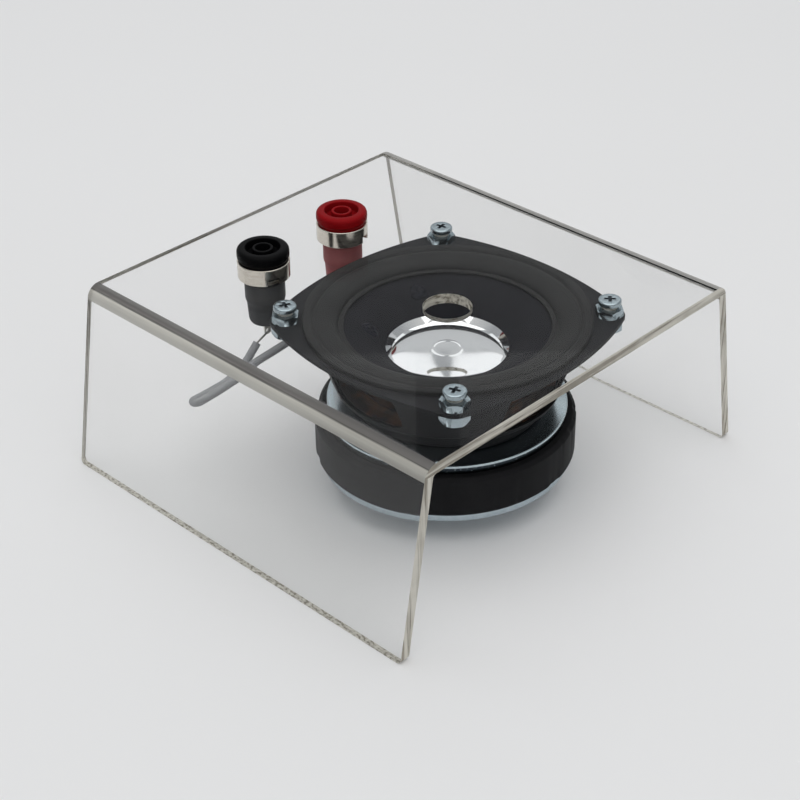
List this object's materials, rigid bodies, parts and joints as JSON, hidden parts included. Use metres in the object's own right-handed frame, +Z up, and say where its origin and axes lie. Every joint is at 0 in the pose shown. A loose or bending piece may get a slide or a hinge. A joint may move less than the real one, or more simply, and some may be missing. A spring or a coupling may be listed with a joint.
{
  "type": "full-range speaker driver",
  "caption": "Full-range loudspeaker driver hung cone-up beneath a bent clear acrylic stand, its sprung cone free to slide, with plug sockets wired to its terminals.",
  "frame": {"origin": "middle of the stand's footprint, on the table", "axes": "+Z up, out of the cone's mouth; +X across the stand, from the black socket towards the red one; +Y along the open sides, from the driver towards the sockets"},
  "size_m": [0.1392, 0.128, 0.0633],
  "materials": {
    "clear_acrylic": "clear, polished faces with brownish sawn edges",
    "zinc_plate": "bright bluish zinc plating",
    "black_steel": "matte black paint on pressed steel",
    "black_rubber": "matte black",
    "black_paper": "matte black pressed paper",
    "mirror_film": "mirror-bright silver",
    "amber_film": "amber film",
    "copper_wire": "enamelled copper",
    "brown_cloth": "resin-stiffened woven cloth",
    "ferrite": "dull dark grey sintered ferrite",
    "brown_board": "laminated paper board",
    "tin_plate": "dull tin plating",
    "copper_braid": "copper braid",
    "black_plastic": "satin moulded plastic",
    "red_plastic": "satin moulded plastic",
    "nickel_plate": "warm satin nickel plating",
    "grey_vinyl": "soft grey insulation"
  },
  "bodies": {
    "stand": {"acrylic_stand": "clear_acrylic", "mounting_screws": "zinc_plate", "plate_nuts": "zinc_plate", "ear_nuts": "zinc_plate", "basket": "black_steel", "surround": "black_rubber", "spider": "brown_cloth", "top_plate": "zinc_plate", "ferrite_magnet": "ferrite", "back_plate": "zinc_plate", "pole_piece": "zinc_plate", "terminal_strip": "brown_board", "terminal_rivet": "tin_plate", "terminal_tags": "tin_plate", "tinsel_leads": "copper_braid", "black_socket_head": "black_plastic", "black_ring_nut": "nickel_plate", "black_socket_body": "black_plastic", "black_contact": "nickel_plate", "black_solder_tag": "tin_plate", "red_socket_head": "red_plastic", "red_ring_nut": "nickel_plate", "red_socket_body": "red_plastic", "red_contact": "nickel_plate", "red_solder_tag": "tin_plate", "black_lead": "grey_vinyl", "red_lead": "grey_vinyl"},
    "cone_assembly": {"cone": "black_paper", "dust_cap": "mirror_film", "voice_coil_former": "amber_film", "voice_coil": "copper_wire"}
  },
  "joints": [
    {"name": "cone_travel", "type": "slide", "parent": "stand", "child": "cone_assembly", "axis": [0, 0, 1], "range_m": [-0.0025, 0.0025], "stiffness_N_per_m": 1000, "deforming": ["surround", "spider", "tinsel_leads"]}
  ]
}
